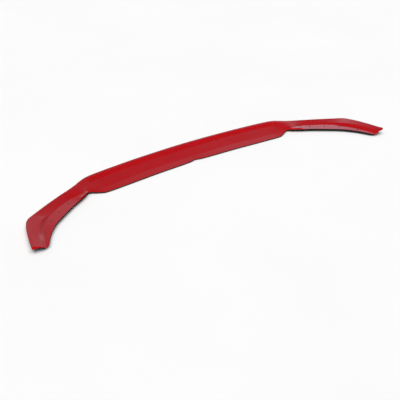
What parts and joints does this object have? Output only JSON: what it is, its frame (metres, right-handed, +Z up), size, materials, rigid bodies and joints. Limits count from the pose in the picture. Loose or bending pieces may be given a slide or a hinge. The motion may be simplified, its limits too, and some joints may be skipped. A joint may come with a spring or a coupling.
{
  "type": "car front splitter",
  "caption": "Gloss red vacuum-formed front splitter with swept-back ends, a stepped mounting flange, and the screws and washers that hold it up under a bumper.",
  "frame": {"origin": "on the floor plane, under the middle of the part's box: on the car's centre line, half way between the foremost point and the rear tips", "axes": "+X across the car, +Y towards the front edge, +Z up"},
  "size_m": [1.7428, 0.3986, 0.0319],
  "materials": {
    "shell": "gloss",
    "screw": "bright zinc plated",
    "washer": "bright zinc plated"
  },
  "bodies": {
    "root": {"splitter_shell": "shell", "fixing_screw_01": "screw", "fixing_screw_02": "screw", "fixing_screw_03": "screw", "fixing_screw_04": "screw", "fixing_screw_05": "screw", "fixing_screw_06": "screw", "fixing_screw_07": "screw", "fixing_screw_08": "screw", "fixing_screw_09": "screw", "fixing_screw_10": "screw", "fixing_screw_11": "screw", "fixing_screw_12": "screw", "fixing_screw_13": "screw", "fixing_screw_14": "screw", "fixing_washer_01": "washer", "fixing_washer_02": "washer", "fixing_washer_03": "washer", "fixing_washer_04": "washer", "fixing_washer_05": "washer", "fixing_washer_06": "washer", "fixing_washer_07": "washer", "fixing_washer_08": "washer", "fixing_washer_09": "washer", "fixing_washer_10": "washer", "fixing_washer_11": "washer", "fixing_washer_12": "washer", "fixing_washer_13": "washer", "fixing_washer_14": "washer"}
  },
  "joints": []
}
